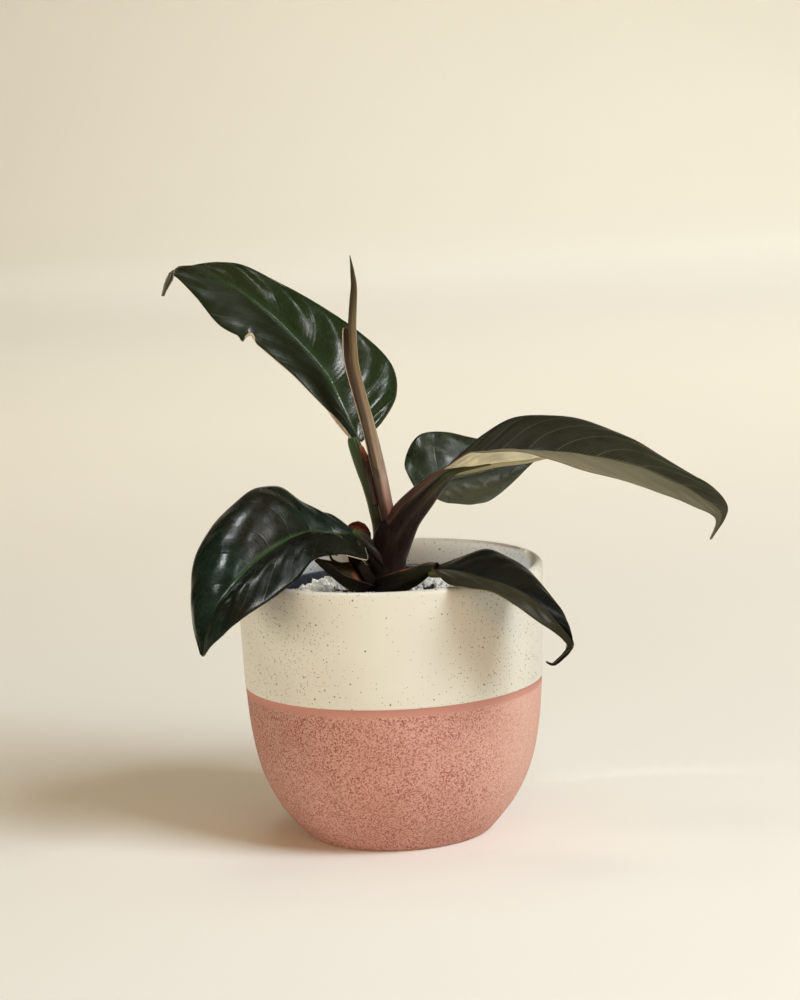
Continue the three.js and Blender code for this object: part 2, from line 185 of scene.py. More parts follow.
NEW_LEAF_INNER_ROLL = [
    [-1.6, -4, 156, 1.8], [-2.7, -5, 165, 2], [-4.2, -6.4, 175, 2.2], [-6.2, -7.5, 186.4, 2.4],
    [-9, -7.5, 199.5, 2.2], [-11.6, -7.5, 212.6, 2.1], [-12.1, -7.5, 221, 2], [-12, -7.5, 231, 1.9],
    [-11.2, -7.5, 241, 1.75], [-10.5, -7.5, 249, 1.4], [-10.9, -7.5, 255.5, 0.95],
    [-11.3, -7.5, 259.5, 0.5], [-11.7, -7.6, 262.7, 0.2],
]
NEW_LEAF_OUTER_ROLL = [
    [-1.9, -4, 160, 3.1], [-2.9, -4.1, 166, 3.22], [-4.4, -4.5, 174, 3.15], [-6.8, -5.5, 186.2, 3.05],
    [-9.9, -6, 199.4, 3], [-12.9, -6, 212.5, 2.95], [-13.9, -6, 219.3, 2.75], [-14.3, -6, 225.1, 2.3],
    [-14.9, -6, 228.8, 1.5], [-15.3, -6, 230.6, 0.6],
]
WRAP_EDGE_RADIUS = 0.3
LEAF_BASES = [
    [-3, -3, 103, 8.6], [-3, -3, 110, 9.6], [-2.6, -3.2, 117, 9.4], [-1.4, -3.4, 124, 9],
    [0.4, -3.8, 131, 8.7], [2.4, -4, 137, 8.2], [4.6, -4.4, 141, 6.8],
]
ROOT = [[2, 0, 82, 2.6], [14, 2, 70, 2], [24, -2, 52, 1.5], [27, 3, 32, 1]]
ROOTS = 6
FIRST_ROOT_ANGLE = 23

# Sheaths, each a row of ribs: [one edge, keel, other edge].
BOAT_SHEATH_RIBS = [
    [[-6, -4, 114], [-7, -9, 109], [-3, -11, 113]],
    [[-9, -9, 118], [-12, -14, 111.5], [-10, -18, 117]],
    [[-15, -13, 124], [-20, -20, 116], [-20, -23, 122]],
    [[-22, -18, 127], [-27, -24, 123], [-25, -27, 127]],
    [[-32, -27, 131], [-33, -28, 130], [-31, -29, 131]],
]
INNER_SHEATH_RIBS = [
    [[-3, -9, 113], [-7, -11, 111], [-9, -7, 113]],
    [[-7, -12, 119], [-11, -14, 117.5], [-14, -11, 119]],
    [[-11, -13, 125], [-14, -16, 124], [-17, -13, 125]],
    [[-17, -14, 132], [-18, -15, 132], [-18.5, -14.5, 132]],
]
CUPPED_SHEATH_RIBS = [
    [[-8, 0, 132], [-13, -1.5, 136.5], [-17, 0, 138]],
    [[-8, 2, 137], [-13, 2, 140], [-18, 2, 140]],
    [[-10, 0, 141], [-13, 0, 142.5], [-16, 0, 142]],
]
NEW_LEAF_SHEATH_RIBS = [
    [[-6, -7, 150], [-4.5, -5.8, 150], [-3, -4.6, 150]],
    [[-8, -5.5, 160], [-6.4, -5, 160], [-4.4, -4.4, 160]],
    [[-10.2, -3.5, 170], [-8.4, -3.8, 170], [-6.4, -4.2, 170]],
    [[-11.2, -2.6, 176.5], [-10.3, -2.7, 177.6], [-9.4, -2.9, 176.6]],
]
SHEATH_THREAD = [
    [-13, -12.5, 126, 0.9], [-18, -13, 125.5, 0.8], [-22, -15, 126, 0.7], [-25, -17, 128, 0.6],
    [-26, -17, 130, 0.5], [-25, -16, 131, 0.5], [-23, -15, 130, 0.5],
]


def add_object(name, data):
    item = bpy.data.objects.new(name, data)
    bpy.context.scene.collection.objects.link(item)
    return item


def place_camera():
    data = bpy.data.cameras.new("camera")
    data.lens = CAMERA_LENS
    data.sensor_width = CAMERA_SENSOR
    camera = add_object("camera", data)
    turn = (
        Matrix.Rotation(-math.radians(CAMERA_YAW), 4, "Z")
        @ Matrix.Rotation(math.radians(90 - CAMERA_PITCH), 4, "X")
        @ Matrix.Rotation(math.radians(CAMERA_ROLL), 4, "Z")
    )
    camera.matrix_world = Matrix.Translation((0, -CAMERA_DISTANCE, CAMERA_HEIGHT)) @ turn
    bpy.context.scene.camera = camera


place_camera()


# Finishes.

def paint(red, green, blue):
    """A colour given as 0 to 255 on a screen, in linear light."""
    def linear(value):
        value /= 255
        return value / 12.92 if value <= 0.04045 else ((value + 0.055) / 1.055) ** 2.4
    return (linear(red), linear(green), linear(blue), 1)


class Finish:
    """A node material that is put together step by step."""

    def __init__(self, name, roughness=0.5, ior=1.45, spec=0.5):
        self.material = bpy.data.materials.new(name)
        self.material.use_nodes = True
        self.tree = self.material.node_tree
        self.shader = self.tree.nodes["Principled BSDF"]
        self.shader.inputs["Roughness"].default_value = roughness
        self.shader.inputs["IOR"].default_value = ior
        self.shader.inputs["Specular IOR Level"].default_value = spec

    def node(self, kind, inputs=None, **settings):
        node = self.tree.nodes.new("ShaderNode" + kind)
        for key, value in settings.items():
            setattr(node, key, value)
        for key, value in (inputs or {}).items():
            self.feed(node.inputs[key], value)
        return node

    def feed(self, socket, value):
        """Links or sets a socket. Three numbers on a colour socket are a colour on a screen."""
        if isinstance(value, bpy.types.NodeSocket):
            self.tree.links.new(value, socket)
        elif socket.type == "RGBA" and len(value) == 3:
            socket.default_value = paint(*value)
        else:
            socket.default_value = value

    def sum(self, operation, a, b=0.0, c=0.0):
        return self.node("Math", {0: a, 1: b, 2: c}, operation=operation).outputs[0]

    def times(self, a, b):
        return self.sum("MULTIPLY", a, b)

    def span(self, value, low, high, to_low=0.0, to_high=1.0):
        """value from low to high, smoothly turned into to_low to to_high."""
        inputs = {"Value": value, "From Min": low, "From Max": high, "To Min": to_low, "To Max": to_high}
        return self.node("MapRange", inputs, interpolation_type="SMOOTHSTEP").outputs["Result"]

    def mix(self, share, a, b, blend="MIX"):
        node = self.node("Mix", data_type="RGBA", blend_type=blend)
        for index, value in ((0, share), (6, a), (7, b)):
            self.feed(node.inputs[index], value)
        return node.outputs[2]

    def place(self):
        return self.node("TexCoord").outputs["Object"]

    def along(self):
        """How far across the piece, and how far along it, each from 0 to 1."""
        uv = self.node("UVMap", uv_map="UVMap").outputs[0]
        split = self.node("SeparateXYZ", {0: uv})
        return split.outputs[0], split.outputs[1]

    def stretched(self, across_scale, along_scale):
        """The piece's own map, scaled, for streaks that run along it."""
        uv = self.node("UVMap", uv_map="UVMap").outputs[0]
        inputs = {"Vector": uv, "Scale": (across_scale, along_scale, 1)}
        return self.node("Mapping", inputs).outputs[0]

    def grain(self, scale, detail=3.0, roughness=0.55, distortion=0.0, vector=None):
        inputs = {"Scale": scale, "Detail": detail, "Roughness": roughness, "Distortion": distortion}
        inputs["Vector"] = vector or self.place()
        return self.node("TexNoise", inputs).outputs["Fac"]

    def ramp(self, share, *stops):
        node = self.node("ValToRGB", {0: share})
        elements = node.color_ramp.elements
        while len(elements) < len(stops):
            elements.new(0.5)
        for element, (position, *shade) in zip(elements, stops):
            element.position = position
            element.color = paint(*shade)
        return node.outputs[0]

    def colour(self, value):
        self.feed(self.shader.inputs["Base Color"], value)

    def sheen_of(self, value):
        self.feed(self.shader.inputs["Roughness"], value)

    def relief(self, height, depth, strength=1.0):
        """A bump whose full height is depth metres."""
        node = self.node("Bump", {"Height": height, "Distance": depth, "Strength": strength})
        self.feed(self.shader.inputs["Normal"], node.outputs[0])


def specks(finish, cell, least, most, share=1.0):
    """Round specks, least to most millimetres in radius, about one in each cell of that width. With it comes
    the tint of each."""
    voronoi = finish.node("TexVoronoi", {"Vector": finish.place(), "Scale": 1000 / cell})
    parts = finish.node("SeparateColor", {0: voronoi.outputs["Color"]})
    reach = finish.sum("MULTIPLY_ADD", parts.outputs[1], (most - least) / cell, least / cell)
    soft = finish.span(finish.sum("DIVIDE", voronoi.outputs["Distance"], reach), 0.55, 1.0, 1, 0)
    chosen = finish.sum("LESS_THAN", parts.outputs[0], share)
    return finish.times(soft, chosen), parts.outputs[2]


def cream_glaze():
    finish = Finish("speckled cream glaze", roughness=0.4, ior=1.5)
    cloud = finish.grain(18, detail=2)
    base = finish.mix(finish.span(cloud, 0.35, 0.65), (203, 199, 186), (209, 206, 193))
    split = finish.node("SeparateXYZ", {0: finish.place()}).outputs
    sideways, depth = split[0], split[1]
    squares = finish.sum("MULTIPLY_ADD", sideways, sideways, finish.times(depth, depth))
    # Whiter inside the rim: partly the glaze's own colour, partly painted light on the shaded inner wall.
    whiter_inside = finish.span(finish.sum("POWER", squares, 0.5), RIM_INSIDE * MM, RIM_CREST * MM, 1, 0)
    base = finish.mix(whiter_inside, base, (240, 240, 236))
    flank = finish.span(finish.sum("ABSOLUTE", sideways), 10 * MM, 48 * MM, 0.1, 0.9)
    crowd = finish.sum("MULTIPLY_ADD", finish.span(finish.grain(26, detail=1), 0.4, 0.62), 0.35, flank)
    small, tint = specks(finish, 1.12, 0.17, 0.34, crowd)
    large, _ = specks(finish, 2.4, 0.32, 0.56, finish.times(crowd, 0.7))
    brown = finish.mix(tint, (74, 56, 32), (134, 116, 84))
    spotted = finish.mix(finish.times(small, 0.9), base, brown)
    spotted = finish.mix(finish.times(large, 0.85), spotted, (88, 68, 42))
    finish.colour(spotted)
    wave = finish.grain(60, detail=2)
    finish.sheen_of(finish.span(wave, 0.3, 0.7, 0.36, 0.46))
    finish.relief(finish.sum("MULTIPLY_ADD", large, -0.4, wave), 0.00008)
    return finish.material


def pink_slip():
    finish = Finish("speckled pink slip", roughness=0.75, spec=0.35)
    parts = finish.node("SeparateXYZ", {0: finish.place()})
    sideways, height = parts.outputs[0], parts.outputs[2]
    cloud = finish.grain(22, detail=2)
    base = finish.mix(finish.span(cloud, 0.35, 0.65), (188, 141, 127), (197, 151, 137))
    # Painted light: the right flank, where the key lamp falls, is painted lighter, and the left flank is
    # painted darker as painted shade.
    base = finish.mix(finish.span(sideways, 20 * MM, 62 * MM, 0, 0.55), base, (218, 180, 162))
    base = finish.mix(finish.span(sideways, -58 * MM, -10 * MM, 0.6, 0), base, (166, 132, 120))
    worms = finish.grain(1400, detail=1, roughness=0.5, distortion=0.9)
    marks = finish.span(worms, 0.515, 0.55)
    patchy = finish.span(finish.grain(90, detail=2), 0.3, 0.7, 0.7, 1.0)
    below_band = finish.span(height, (GLAZE_LINE - BAND_FOOT) * MM, (GLAZE_LINE - BAND_FADE) * MM, 1, 0)
    marks = finish.times(finish.times(marks, patchy), below_band)
    marks = finish.times(marks, finish.span(sideways, 25 * MM, 62 * MM, 1, 0.3))
    spotted = finish.mix(finish.times(marks, 0.88), base, (128, 62, 46))
    banded = finish.mix(finish.span(below_band, 0, 1, 0.7, 0), spotted, (178, 120, 107))
    finish.colour(banded)
    finish.sheen_of(finish.span(worms, 0.4, 0.6, 0.66, 0.82))
    finish.relief(worms, 0.0001, 0.6)
    return finish.material


def bare_clay():
    finish = Finish("bare clay foot", roughness=0.9)
    fine = finish.grain(900, detail=4)
    finish.colour(finish.mix(fine, (186, 160, 134), (214, 190, 164)))
    finish.relief(fine, 0.00015)
    return finish.material


def nursery_plastic():
    finish = Finish("navy black plastic", roughness=0.42, ior=1.47)
    dust = finish.span(finish.grain(240, detail=5, roughness=0.7), 0.5, 0.75)
    finish.colour(finish.mix(dust, (42, 48, 62), (84, 86, 90)))
    finish.sheen_of(finish.span(dust, 0, 1, 0.38, 0.65))
    finish.relief(finish.grain(1500, detail=2), 0.00004)
    return finish.material


def potting_mix():
    finish = Finish("peat mix", roughness=0.95)
    coarse = finish.grain(420, detail=6, roughness=0.7)
    finish.colour(finish.ramp(coarse, (0.3, 30, 22, 16), (0.55, 58, 44, 33), (0.75, 92, 74, 56)))
    finish.relief(coarse, 0.0012)
    return finish.material


def crumb_bark():
    finish = Finish("bark crumbs", roughness=0.9)
    coarse = finish.grain(300, detail=5)
    finish.colour(finish.ramp(coarse, (0.3, 38, 27, 20), (0.6, 84, 62, 43), (0.8, 118, 92, 66)))
    finish.relief(finish.grain(1800, detail=3), 0.0003)
    return finish.material


def perlite_grain():
    finish = Finish("perlite", roughness=0.88)
    broad = finish.grain(170, detail=2)
    fine = finish.grain(1900, detail=4, roughness=0.7)
    clean = finish.mix(finish.span(broad, 0.38, 0.62), (236, 235, 226), (250, 249, 244))
    dirt = finish.span(fine, 0.56, 0.74, 0, 0.4)
    finish.colour(finish.mix(dirt, clean, (150, 138, 118)))
    finish.relief(fine, 0.0004)
    return finish.material


def veins(finish, pleats, sweep):
    """For each spot of a blade: its side, its share of the way out and along, and its nearness to veins."""
    across, along = finish.along()
    signed = finish.sum("MULTIPLY_ADD", across, 2, -1)
    side = finish.sum("ABSOLUTE", signed)
    bent = finish.times(finish.sum("POWER", side, 1.3), -sweep)
    alternate = finish.times(finish.sum("LESS_THAN", signed, 0), 0.4)
    place = finish.sum("MULTIPLY_ADD", finish.sum("ADD", along, bent), pleats, alternate)
    side_vein = finish.span(finish.sum("PINGPONG", place, 0.5), 0.0, 0.07, 1, 0)
    fine_vein = finish.span(finish.sum("PINGPONG", finish.times(place, 9), 0.5), 0.0, 0.4, 1, 0)
    return signed, side, along, side_vein, fine_vein


def leaf_skin(name, deep, fresh, warm, midrib, pleats=8, sweep=0.2, gloss=0.3, mottled=0.5, rib=0.05,
              lines=0.1, spec=0.42, pale=None, pale_side=1, pale_share=0.7, pale_matte=0.0, dusty=0.0,
              dusty_end=0.5, shaded=0.0):
    """The upper face of a blade: mottled, with side veins, fine veins between them and a paler midrib. One
    side of it may have another tone and be less glossy, most of all near the stalk; on some leaves that
    tone is a painted sheen. It is dusty up to dusty_end of its length, and shaded is how much painted shade
    darkens the half near the stalk."""
    finish = Finish(name, roughness=gloss, spec=spec)
    signed, side, along, side_vein, fine_vein = veins(finish, pleats, sweep)
    mottle = finish.grain(95, detail=7, roughness=0.66)
    patch = finish.grain(26, detail=4)
    blotch = finish.span(mottle, 0.34, 0.7, 0.5 - 0.5 * mottled, 0.5 + 0.5 * mottled)
    colour = finish.mix(blotch, deep, fresh)
    colour = finish.mix(finish.span(patch, 0.5, 0.68, 0, mottled), colour, warm)
    # Painted shade: darker towards the stalk, by shaded.
    colour = finish.mix(finish.span(along, 0.25, 0.65, shaded, 0), colour, deep)
    # A tone on one half, less glossy; on some leaves it is a painted sheen.
    if pale:
        on_side = finish.span(finish.times(signed, pale_side), 0.02, 0.25, 0, pale_share)
        fading = finish.times(on_side, finish.span(along, 0.3, 1.0, 1, 0.25))
        colour = finish.mix(fading, colour, pale)
    colour = finish.mix(finish.times(side_vein, lines), colour, midrib)
    colour = finish.mix(finish.times(fine_vein, 0.6 * lines), colour, midrib)
    central = finish.span(side, rib * 0.3, rib * 1.8, 0.85, 0)
    fading = finish.span(along, 0.4, 0.95, 1, 0.25)
    colour = finish.mix(finish.times(central, fading), colour, midrib)
    dust, _ = specks(finish, 1.2, 0.07, 0.17, 0.6)
    colour = finish.mix(finish.times(dust, 0.35), colour, (150, 152, 132))
    finish.colour(colour)
    scuff = finish.grain(190, detail=5, roughness=0.7)
    matte = finish.span(scuff, 0.35, 0.7, gloss - 0.04, gloss + 0.1)
    if pale:
        matte = finish.sum("MULTIPLY_ADD", on_side, pale_matte / pale_share, matte)
    dulled = finish.span(along, dusty_end - 0.08, dusty_end + 0.08, dusty, 0)
    finish.sheen_of(finish.sum("ADD", matte, dulled))
    height = finish.sum("MULTIPLY_ADD", fine_vein, -0.05, finish.times(mottle, 0.35))
    height = finish.sum("MULTIPLY_ADD", side_vein, -0.25, height)
    height = finish.sum("MULTIPLY_ADD", scuff, 0.3, height)
    height = finish.sum("MULTIPLY_ADD", finish.grain(1300, detail=2), 0.22, height)
    finish.relief(height, 0.0002, 0.9)
    return finish.material


def leaf_back(name, base, vein, pleats=8, sweep=0.2):
    """The under face of a blade, paler and duller, with raised side veins."""
    finish = Finish(name, spec=0.4)
    _, side, _, side_vein, fine_vein = veins(finish, pleats, sweep)
    mottle = finish.grain(90, detail=5)
    darker = tuple(0.65 * value for value in paint(*base)[:3]) + (1,)
    colour = finish.mix(finish.span(mottle, 0.35, 0.68), base, darker)
    colour = finish.mix(finish.times(side_vein, 0.3), colour, vein)
    colour = finish.mix(finish.times(fine_vein, 0.14), colour, vein)
    colour = finish.mix(finish.span(side, 0.03, 0.1, 0.8, 0), colour, vein)
    finish.colour(colour)
    height = finish.sum("MULTIPLY_ADD", side_vein, 0.7, finish.times(fine_vein, 0.3))
    finish.relief(height, 0.0002, 0.8)
    return finish.material


def leaf_rim(name, base, pale):
    """The thin edge of a blade: reddish by the stalk, pale further out."""
    finish = Finish(name, roughness=0.45)
    _, along = finish.along()
    fine = finish.grain(400, detail=2)
    colour = finish.mix(finish.span(along, 0.03, 0.2), base, pale)
    finish.colour(finish.mix(finish.times(fine, 0.5), colour, (60, 48, 34)))
    finish.relief(fine, 0.0001)
    return finish.material


def stalk_skin(name, *stops, gloss=0.36, streak=0.5, bands=(), spec=0.42):
    """A stalk whose colour changes from foot to top through stops of (share, red, green, blue), with long
    streaks. Bands of (share of the way round, half width, strength, colour) run along it."""
    finish = Finish(name, roughness=gloss, spec=spec)
    around, along = finish.along()
    drift = finish.span(finish.grain(60, detail=3), 0.3, 0.7, -0.05, 0.05)
    colour = finish.ramp(finish.sum("ADD", along, drift), *stops)
    waver = finish.span(finish.grain(45, detail=2), 0.3, 0.7, -0.02, 0.02)
    for middle, reach, strength, band in bands:
        off = finish.sum("ABSOLUTE", finish.sum("SUBTRACT", finish.sum("ADD", around, waver), middle))
        colour = finish.mix(finish.span(off, reach * 0.45, reach, strength, 0), colour, band)
    streaks = finish.grain(1.0, detail=4, roughness=0.6, vector=finish.stretched(26, 3))
    shade = finish.span(streaks, 0.35, 0.7, 1 - streak, 1 + 0.3 * streak)
    grey = finish.node("CombineColor", {0: shade, 1: shade, 2: shade}).outputs[0]
    shaded = finish.mix(1.0, colour, grey, "MULTIPLY")
    fleck = finish.span(finish.grain(700, detail=3), 0.6, 0.72, 0, 0.07)
    finish.colour(finish.mix(fleck, shaded, (130, 112, 88)))
    finish.sheen_of(finish.span(finish.grain(200, detail=4), 0.35, 0.7, gloss - 0.06, gloss + 0.14))
    finish.relief(streaks, 0.0002, 0.6)
    return finish.material


def sheath_skin(name, *stops, gloss=0.5, spec=0.3):
    """A papery sheath whose colour changes from foot to tip through stops of (share, red, green, blue)."""
    finish = Finish(name, roughness=gloss, spec=spec)
    _, along = finish.along()
    streaks = finish.grain(1.0, detail=4, roughness=0.6, vector=finish.stretched(30, 2.5))
    drift = finish.span(finish.grain(150, detail=3), 0.3, 0.7, -0.12, 0.12)
    colour = finish.ramp(finish.sum("ADD", along, drift), *stops)
    shadow = finish.span(streaks, 0.4, 0.7, 0, 0.45)
    finish.colour(finish.mix(shadow, colour, (34, 22, 13)))
    finish.relief(streaks, 0.0002)
    return finish.material


def paper_sweep():
    finish = Finish("pale paper", roughness=0.9, spec=0.2)
    cloud = finish.grain(1.3, detail=2)
    finish.colour(finish.mix(finish.span(cloud, 0.3, 0.7), (246, 242, 233), (248, 244, 235)))
    finish.relief(finish.grain(300, detail=2), 0.0001, 0.3)
    return finish.material


# Shapes.

def hump(offset, reach):
    """A soft hump, 1 at its middle."""
    return math.exp(-((offset / reach) ** 2))


def smooth_point(points, share):
    """The point at a share of the smooth line through points."""
    last = len(points) - 1
    i = min(int(share * last), last - 1)
    f = share * last - i
    b, c = points[i], points[i + 1]
    a = points[i - 1] if i > 0 else 2 * b - c
    d = points[i + 2] if i + 2 <= last else 2 * c - b
    cubic = (2 * b, (c - a) * f, (2 * a - 5 * b + 4 * c - d) * f ** 2, (3 * b - 3 * c + d - a) * f ** 3)
    return sum(cubic[1:], cubic[0]) * 0.5


def add_mesh(name, bm, finishes=(), smooth=True):
    mesh = bpy.data.meshes.new(name)
    for face in bm.faces:
        face.smooth = smooth
    bm.to_mesh(mesh)
    bm.free()
    for finish in finishes:
        mesh.materials.append(finish)
    return add_object(name, mesh)


def make_piece(name, bm, finishes, nodes=(), smooth=True):
    """A finished mesh as a piece that rides on the one body."""
    piece = add_mesh(name, bm, finishes, smooth)
    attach(piece, "root")
    if nodes:
        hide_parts(*nodes)
    return piece


def wall(piece, thickness):
    """Gives a thin piece its thickness, in millimetres, below its upper face."""
    solid = piece.modifiers.new("thickness", "SOLIDIFY")
    solid.thickness = thickness * MM
    solid.offset = -1
    solid.use_even_offset = False
    solid.material_offset = 1
    solid.material_offset_rim = 2


def mapped_grid(x_segments, y_segments):
    bm = bmesh.new()
    bm.loops.layers.uv.new("UVMap")
    bmesh.ops.create_grid(bm, x_segments=x_segments, y_segments=y_segments, size=1, calc_uvs=True)
    return bm


def blade_relief(u, v, arch=1.5, pleats=8, sweep=0.2, pleat=0.6, left_pleat=1, wave=0.6, waves=3.0,
                 groove=0.4, curl=0.6, ripple=0.35, seed=0):
    """How far the upper face stands above the ribs at u along and v across the blade, in millimetres. The
    left half has left_pleat times the pleats of the right."""
    side = abs(v)
    ends = min(1, 7 * u) * min(1, 6 * (1 - u))
    vein = (u - sweep * side ** 1.3) * pleats + (0.4 if v < 0 else 0)
    fold = (0.5 - 0.5 * math.cos(2 * math.pi * vein)) * side ** 0.7 * (1 - side ** 5)
    fold *= left_pleat if v < 0 else 1
    swell = arch * math.sin(math.pi * side) * math.sin(math.pi * u)
    edge = wave * side ** 3 * math.sin(2 * math.pi * (waves * u + 0.17 * (v > 0)))
    dip = groove * hump(side, 0.08)
    uneven = ripple * side ** 0.5 * noise.noise(Vector((9 * u, 2.5 * v, seed)))
    return swell + ends * (pleat * fold + edge - dip + 2 * uneven - curl * side ** 7)


def blade(name, node, ribs, finishes, nudges=(), steps=150, half=22, thickness=0.6, slot="dark_leaf",
          rib=None, lips=(), **shape):
    """A leaf blade. nudges are (side, u, reach, shift): small moves of a margin, for its nicks and teeth.
    rib is (first radius, finish) of the midrib that stands out under it. lips are (side, first u, last u,
    radius, finish): stretches of a margin that are rolled over."""
    rails = [[Vector(row[k]) for row in ribs] for k in range(3)]
    rows = [[smooth_point(rail, i / steps) for rail in rails] for i in range(steps + 1)]

    def on_ribs(i, v):
        left, midrib, right = rows[max(0, min(steps, i))]
        return midrib.lerp(left if v < 0 else right, abs(v))

    def upper_face(i, v):
        lengthwise = on_ribs(i + 1, v) - on_ribs(i - 1, v)
        sideways = on_ribs(i, min(v + 0.1, 1)) - on_ribs(i, max(v - 0.1, -1))
        upper = sideways.cross(lengthwise).normalized()
        place = on_ribs(i, v) + upper * blade_relief(i / steps, v, **shape)
        for side, middle, reach, shift in nudges:
            if side * v > 0:
                place += Vector(shift) * v ** 8 * hump(i / steps - middle, reach)
        return place, upper

    bm = mapped_grid(2 * half, steps)
    for vert in bm.verts:
        i = round((vert.co.y + 1) / 2 * steps)
        vert.co = upper_face(i, vert.co.x)[0] * MM
    piece = make_piece(name, bm, finishes, [node] if node else [])
    wall(piece, thickness)
    if rib:
        radius, finish = rib
        stations = []
        for i in range(0, int(steps * 0.86), 5):
            place, upper = upper_face(i, 0)
            size = radius * (1 - i / steps / 0.9) ** 0.9 + 0.15
            stations.append([*(place - upper * (size * 0.95 + 0.15)), size])
        stalk(name.replace("leaf", "midrib"), None, stations, finish, "green_stalk", sides=14, steps=110)
    for number, (side, first, last, radius, finish) in enumerate(lips):
        stations = []
        for i in range(9):
            share = i / 8
            place, upper = upper_face(round((first + (last - first) * share) * steps), side)
            size = 0.2 + radius * math.sin(math.pi * share) ** 0.7
            stations.append([*(place - upper * thickness * 0.5), size])
        stalk(f"{name}_lip_{number + 1}", None, stations, finish, slot, sides=10, steps=40)


def round_section(angle, share):
    return 1.0


def stalk(name, node, stations, finish, slot, facing=(0, 0, 1), sides=32, steps=60, section=round_section):
    """A closed tube through its stations. section(angle, share) scales its radius; 90 degrees looks to
    facing."""
    points = [Vector(station) for station in stations]
    bm = mapped_grid(sides, steps)
    for vert in bm.verts:
        around, share = math.pi * (vert.co.x + 1), (vert.co.y + 1) / 2
        spot = smooth_point(points, share)
        ahead = smooth_point(points, min(1, share + 0.01)) - smooth_point(points, max(0, share - 0.01))
        tangent = ahead.xyz.normalized()
        upright = (Vector(facing) - tangent * tangent.dot(Vector(facing))).normalized()
        across = upright.cross(tangent)
        radius = spot.w * section(around, share)
        vert.co = (spot.xyz + (across * math.cos(around) + upright * math.sin(around)) * radius) * MM
    bmesh.ops.remove_doubles(bm, verts=bm.verts, dist=1e-7)
    bmesh.ops.holes_fill(bm, edges=[edge for edge in bm.edges if edge.is_boundary], sides=0)
    bmesh.ops.recalc_face_normals(bm, faces=bm.faces)
    make_piece(name, bm, [finish], [node] if node else [])


def turned(profile, steps):
    """A profile of (radius, height) in millimetres, turned about the pot's axis."""
    bm = bmesh.new()
    verts = [bm.verts.new((radius * MM, 0, height * MM)) for radius, height in profile]
    edges = [bm.edges.new(pair) for pair in zip(verts, verts[1:])]
    bmesh.ops.spin(
        bm, geom=verts + edges, cent=(0, 0, 0), axis=(0, 0, 1), angle=2 * math.pi, steps=steps, use_merge=True
    )
    bmesh.ops.remove_doubles(bm, verts=bm.verts, dist=1e-7)
    bmesh.ops.recalc_face_normals(bm, faces=bm.faces)
    return bm


def smooth_profile(points, per_span=6):
    """More points on the smooth line through a profile."""
    line = [Vector(point) for point in points]
    count = per_span * (len(points) - 1)
    return [tuple(smooth_point(line, i / count)) for i in range(count + 1)]


# Pots.

def cover_pot(cream, pink, clay):
    foot = smooth_profile([(41, 0), (42.4, 0.8), (44.5, 3)], 4)
    bowl = smooth_profile(
        [(44.5, 3), (48.8, 8), (53.4, 14), (57.9, 22), (61.9, 32), (64.6, 44), (66.2, 56),
         (67.3, GLAZE_LINE)]
    )
    shoulder = [(67.3 + GLAZE_STEP * 0.7, GLAZE_LINE + 0.1), (67.3 + GLAZE_STEP, GLAZE_LINE + 0.5)]
    wall_up = smooth_profile([(67.52, 71.5), (68.1, 90), (69, 112), (69.3, 118.5)], 5)
    lip = smooth_profile(
        [(69.3, 118.5), (68.9, 121), (67.4, 122.2), (65.9, 121.8), (64.9, 120), (64.4, 116)], 4
    )
    inside = smooth_profile(
        [(64.4, 116), (63.6, 100), (62.6, 75), (61.2, 56), (59.2, 44), (56, 32), (51.6, 22), (46.6, 14),
         (42.4, 9.4), (38, 7)], 4
    )
    profile = [(0, 0), (36, 0)] + foot + bowl[1:] + shoulder + wall_up + lip[1:] + inside[1:] + [(0, 7)]
    bm = turned(profile, POT_STEPS_ROUND)
    for face in bm.faces:
        centre = face.calc_center_median()
        outward = face.normal.x * centre.x + face.normal.y * centre.y
        if face.normal.z < -0.9 and centre.z < 0.5 * MM:
            face.material_index = 2
        elif outward > 0 and centre.z < GLAZE_LINE * MM:
            face.material_index = 1
    make_piece("cover_pot_ceramic", bm, [cream, pink, clay], ["cover_pot"])


def nursery_pot(plastic):
    profile = [
        (0, 7.3), (36.6, 7.3), (37, 7.5), (38.2, 8.4), (58.4, 105), (60.2, 105.3), (60.8, 106), (60.9, 107),
        (60.9, 109.6), (60.6, 110.6), (60, 111), (58.6, 111), (58, 110.7), (57.5, 109.8), (57.2, 105),
        (37, 8.5), (0, 8.5),
    ]
    bm = turned(profile, NURSERY_POT_STEPS_ROUND)
    cutter = bmesh.new()
    for i in range(DRAIN_HOLES):
        place = Matrix.Translation((DRAIN_HOLE_RING * MM, 0, 8 * MM))
        turn = Matrix.Rotation(i * 2 * math.pi / DRAIN_HOLES, 4, "Z") @ place
        radius = DRAIN_HOLE_RADIUS * MM
        bmesh.ops.create_cone(
            cutter, cap_ends=True, segments=24, radius1=radius, radius2=radius, depth=6 * MM, matrix=turn
        )
    piece = make_piece("nursery_pot_plastic", bm, [plastic], ["nursery_pot"])
    holes = add_mesh("drain_holes", cutter, smooth=False)
    boolean = piece.modifiers.new("drain holes", "BOOLEAN")
    boolean.object = holes
    boolean.solver = "EXACT"
    cut = bpy.data.meshes.new_from_object(piece.evaluated_get(bpy.context.evaluated_depsgraph_get()))
    piece.modifiers.clear()
    piece.data = cut
    bpy.data.objects.remove(holes)


def soil_height(radius):
    return SOIL_TOP - (SOIL_TOP - SOIL_EDGE) * (radius / SOIL_EDGE_RADIUS) ** 2


def soil_level(x, y):
    """The lumpy top of the soil, in millimetres, at a place given in millimetres."""
    rough = noise.noise(Vector((x, y, 3)) * 0.11) + 0.6 * noise.noise(Vector((x, y, 9)) * 0.35)
    return soil_height(math.hypot(x, y)) + SOIL_LUMPINESS * rough


